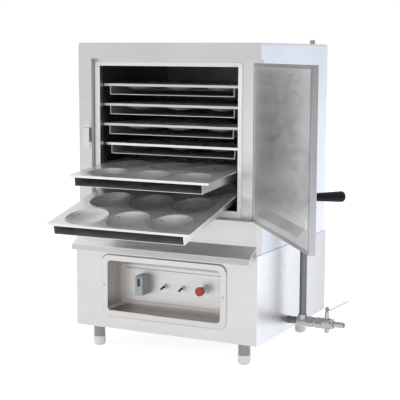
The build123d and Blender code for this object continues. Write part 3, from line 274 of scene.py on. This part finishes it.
# Drip canopy: a strip of thinner, bright sheet over the controls, bent along its length, with a fixing
# flange hidden behind the slope. The turned-down lip in front gets a painted shade, darker than the slope.
canopy_fold = 0.3236
canopy_sheet = brushed("canopy_sheet", (0.80, 0.80, 0.79), rough=0.30, grain=90, stretch=across,
                       cloud=0.05, metal=0.85)
# Painted shade: below the fold, the lip gets a darker copy of the canopy's colour.
painted_lip_shade = second_shade(canopy_sheet, "Z", "LESS_THAN", canopy_fold)
painted_lip_shade.default_value = (0.60, 0.60, 0.585, 1)
dress(canopy_sheet, "drip_canopy")

# Steam chamber: the liner is a box with the door opening in its front, the water tank hangs under its
# slotted floor, and the tray rails and their pins sit on its walls. All are dull sheet and rod, which
# stays dark deep inside the cabinet.
fore_and_aft = (1.0, 0.05, 1.0)
liner_sheet = brushed("liner_sheet", (0.30, 0.30, 0.30), rough=0.5, grain=60, stretch=fore_and_aft)
dress(liner_sheet, "chamber_liner", "water_tank")
dress(liner_sheet, "tray_rails", "fixed_rail_pins", "rail_pins_5", "rail_pins_6")

# Immersion heater: one bent steel tube in the water tank, with both ends led out through the tank's
# rear wall.
heater_tube = brushed("heater_tube", (0.35, 0.35, 0.36), rough=0.4, grain=60, stretch=even)
dress(heater_tube, "immersion_heater")

# Insulation: yellowish slabs of mineral wool round the liner and between the two skins of the door,
# where none of it shows.
speck_tone = 0.06


def moulded(name, shade, rough, speck=60.0, bump=0.03, coat=0.0):
    """Moulded plastic, rubber or wool: an even colour with a very fine surface grain."""
    plastic = bpy.data.materials.new(name)
    plastic.use_nodes = True
    tree = plastic.node_tree
    shader = tree.nodes["Principled BSDF"]
    shader.inputs["Roughness"].default_value = rough
    shader.inputs["Coat Weight"].default_value = coat
    where = tree.nodes.new("ShaderNodeTexCoord")
    grain = surface_grain(tree, where, even, speck, line_detail)
    colour = toned_colour(tree, tone_range(tree, grain, 0.0, 1.0, 1.0 - speck_tone, 1.0 + speck_tone))
    colour.inputs["A"].default_value = (*shade, 1)
    tree.links.new(colour.outputs["Result"], shader.inputs["Base Color"])
    tree.links.new(fine_grooves(tree, grain, bump), shader.inputs["Normal"])
    return plastic


mineral_wool = moulded("mineral_wool", (0.62, 0.55, 0.36), rough=0.95, speck=400, bump=0.6)
dress(mineral_wool, "insulation", "door_insulation")

# Door gasket: a flat profile of white silicone, mitred at the corners, which lies on the door seat all
# round the opening.
white_gasket = moulded("white_gasket", (1.0, 1.0, 1.0), rough=0.45, bump=0.0)
dress(white_gasket, "door_gasket")

# Door outer pan: satin sheet with upright grain, its four edges turned back and hemmed inwards.
# The insulation and the inner panel are let in behind the hem.
door_skin = brushed("door_skin", (0.56, 0.56, 0.565), rough=0.34, grain=90, stretch=upright)
dress(door_skin, "door_outer_pan")

# Door inner panel and drip deflector: a flat panel and an angle across it, both of brighter and
# slightly cloudy sheet. A painted reflection of the dark chamber dims it round the middle of the panel.
panel_grain = (0.3, 0.3, 1.0)
panel_clouds = (0.5, 0.5, 1.6)
door_inside = brushed("door_inside", (0.88, 0.88, 0.885), rough=0.38, grain=60, stretch=panel_grain,
                      cloud=0.12, bump=0.0, metal=0.82, haze_stretch=panel_clouds)
# Painted reflection: a round dark spot in the panel's colour, darkest at its middle, for the mirrored
# chamber.
dim_middle = (0.660, -0.176, 0.70)
dim_reach = (0.32, 0.32, 0.42)
dim_core = 0.9
painted_reflection_tone = 0.72
door_tree = door_inside.node_tree
painted_reflection_spot = door_tree.nodes.new("ShaderNodeMapping")
dim_place = [-middle / reach for middle, reach in zip(dim_middle, dim_reach)]
painted_reflection_spot.inputs["Location"].default_value = dim_place
painted_reflection_spot.inputs["Scale"].default_value = [1 / reach for reach in dim_reach]
door_tree.links.new(door_tree.nodes["Texture Coordinate"].outputs["Object"], painted_reflection_spot.inputs["Vector"])
ball = door_tree.nodes.new("ShaderNodeTexGradient")
ball.gradient_type = "SPHERICAL"
door_tree.links.new(painted_reflection_spot.outputs[0], ball.inputs["Vector"])
painted_reflection_dim = toned_colour(door_tree, tone_range(door_tree, ball.outputs["Fac"], 0.0, dim_core, 1.0, painted_reflection_tone))
panel_colour = door_tree.nodes["Principled BSDF"].inputs["Base Color"]
door_tree.links.new(panel_colour.links[0].from_socket, painted_reflection_dim.inputs["A"])
door_tree.links.new(painted_reflection_dim.outputs["Result"], panel_colour)
dress(door_inside, "door_inner_panel", "drip_deflector")

# Hinges and latch: two butt hinges, the latch's backplate, bar and spindle, and the joggled keeper on
# the left stile, all pressed or turned in steel, plated and shinier than the sheet.
plated_parts = brushed("plated_parts", (0.52, 0.52, 0.53), rough=0.2, grain=120, stretch=even,
                       cloud=0.01, bump=0.0)
dress(plated_parts, "fixed_hinge_leaves", "moving_hinge_leaves", "latch_plate", "latch_bar", "latch_keeper")

# Latch grip: a tapered handle moulded in black plastic, which stands out from the lower end of the
# latch bar.
black_grip = moulded("black_grip", (0.006, 0.007, 0.009), rough=0.4, bump=0.02)
black_grip.node_tree.nodes["Principled BSDF"].inputs["Specular IOR Level"].default_value = 0.2
dress(black_grip, "latch_grip")

# Idli plates: stainless sheet pressed with nine shallow cups each, with steam holes and a folded front
# lip. The three upper ones, back in the chamber, get a darker copy of the sheet as painted shade.
side_to_side = (0.08, 1.0, 1.0)
# Painted shade: the upper plates' sheet is a darker, rougher and less metallic copy of the lower three's.
plate_sheet_painted_shade = brushed("plate_sheet_painted_shade", (0.60, 0.60, 0.60), rough=0.40, grain=70, stretch=side_to_side,
                      cloud=0.05, metal=0.45)
dress(plate_sheet_painted_shade, "idli_plate_1", "idli_plate_2", "idli_plate_3")
tray_sheet = brushed("tray_sheet", (0.70, 0.705, 0.71), rough=0.30, grain=70, stretch=side_to_side,
                     cloud=0.05, metal=0.80)
dress(tray_sheet, "idli_plate_4", "idli_plate_5", "idli_plate_6")

# Tray pans: folded from the same sheet, open at the front, hung under each plate by two side flanges
# to catch the drips.
pan_sheet = brushed("pan_sheet", (0.72, 0.72, 0.73), rough=0.33, grain=70, stretch=side_to_side,
                    cloud=0.05, metal=0.80)
dress(pan_sheet, *[f"tray_pan_{level}" for level in range(1, 7)])

# Control panel: a polished frame moulding round the opening, a dull box of sheet behind it and a
# pressed satin plate with a raised field, fixed on the back of the box.
bezel_steel = brushed("bezel_steel", (0.52, 0.507, 0.498), rough=0.14, grain=60, stretch=even, cloud=0.02)
dress(bezel_steel, "control_bezel")
recess_steel = brushed("recess_steel", (0.46, 0.44, 0.42), rough=0.34, grain=60, stretch=fore_and_aft,
                       cloud=0.04, bump=0.0)
dress(recess_steel, "control_recess")
plate_steel = brushed("plate_steel", (0.58, 0.573, 0.56), rough=0.4, grain=90, stretch=across, cloud=0.02)
dress(plate_steel, "control_plate")

# Energy meter: a narrow housing moulded in grey plastic, which stands out of the control plate, with a
# dark display let into its face.
meter_grey = moulded("meter_grey", (0.48, 0.54, 0.56), rough=0.5)
dress(meter_grey, "meter_case")
meter_display = moulded("meter_display", (0.02, 0.05, 0.04), rough=0.15)
dress(meter_display, "meter_window")

# Switches: two toggles with dark levers in round collars and a red push button in a barrel, set in the
# control plate. Collars, barrel and the two bezel screws are turned and chromed.
chrome = brushed("chrome", (0.5, 0.49, 0.49), rough=0.08, grain=60, stretch=even, cloud=0.0, bump=0.0)
dress(chrome, "toggle_collars", "button_barrel", "bezel_screws")
toggle_dark = moulded("toggle_dark", (0.03, 0.02, 0.02), rough=0.3)
dress(toggle_dark, "toggle_lever_1", "toggle_lever_2")
button_red = moulded("button_red", (0.50, 0.035, 0.04), rough=0.35, bump=0.02, coat=0.2)
dress(button_red, "red_push_button")

# Drain and level pipe: polished steel tube, coloured far darker than steel as painted shade. The drain
# comes down from the tank's bottom and is bent to pass through the side of the base, the level pipe
# rises from the tee to the side of the tank.
tube_grain = (1.0, 1.0, 0.1)
# Painted shade: the tube's colour is kept far darker than polished steel, for the shade it sits in behind
# the door.
pipe_tube_painted_shade = brushed("pipe_tube_painted_shade", (0.15, 0.155, 0.16), rough=0.10, grain=60, stretch=tube_grain, cloud=0.02)
dress(pipe_tube_painted_shade, "drain_pipe", "level_pipe")

# Fittings and vent: the brass tee, the hexagon coupling and the ball valve with its nozzle are plated
# and polished, and so is the short vent tube with a domed cap, which stands in the top sheet.
plated_fitting = brushed("plated_fitting", (0.42, 0.415, 0.405), rough=0.12, grain=60, stretch=even,
                         cloud=0.05)
dress(plated_fitting, "pipe_tee", "hex_coupling", "tap_body", "hose_nozzle", "steam_vent")

# Tap handle: a flat lever of plain steel, bent and fixed on the stem of the valve. Ball and stem move
# with it.
lever_steel = brushed("lever_steel", (0.25, 0.25, 0.26), rough=0.3, grain=60, stretch=even, cloud=0.05)
dress(lever_steel, "tap_handle")

# Legs: a short steel tube with a square mounting plate welded on its top, one under each corner of the
# base.
leg_steel = brushed("leg_steel", (0.25, 0.245, 0.24), rough=0.3, grain=60, stretch=tube_grain)
dress(leg_steel, "leg_tubes")

# Feet: round-bottomed feet moulded in white plastic, each with a spigot pushed up into its tube.
# They stand on the floor.
white_foot = moulded("white_foot", (1.0, 1.0, 1.0), rough=0.5)
dress(white_foot, "plastic_feet")

# Cable gland: a nut and a dome of black nylon, screwed into a hole in the rear of the base, where the
# mains cable goes in.
gland_black = moulded("gland_black", (0.02, 0.02, 0.02), rough=0.5)
dress(gland_black, "cable_gland")
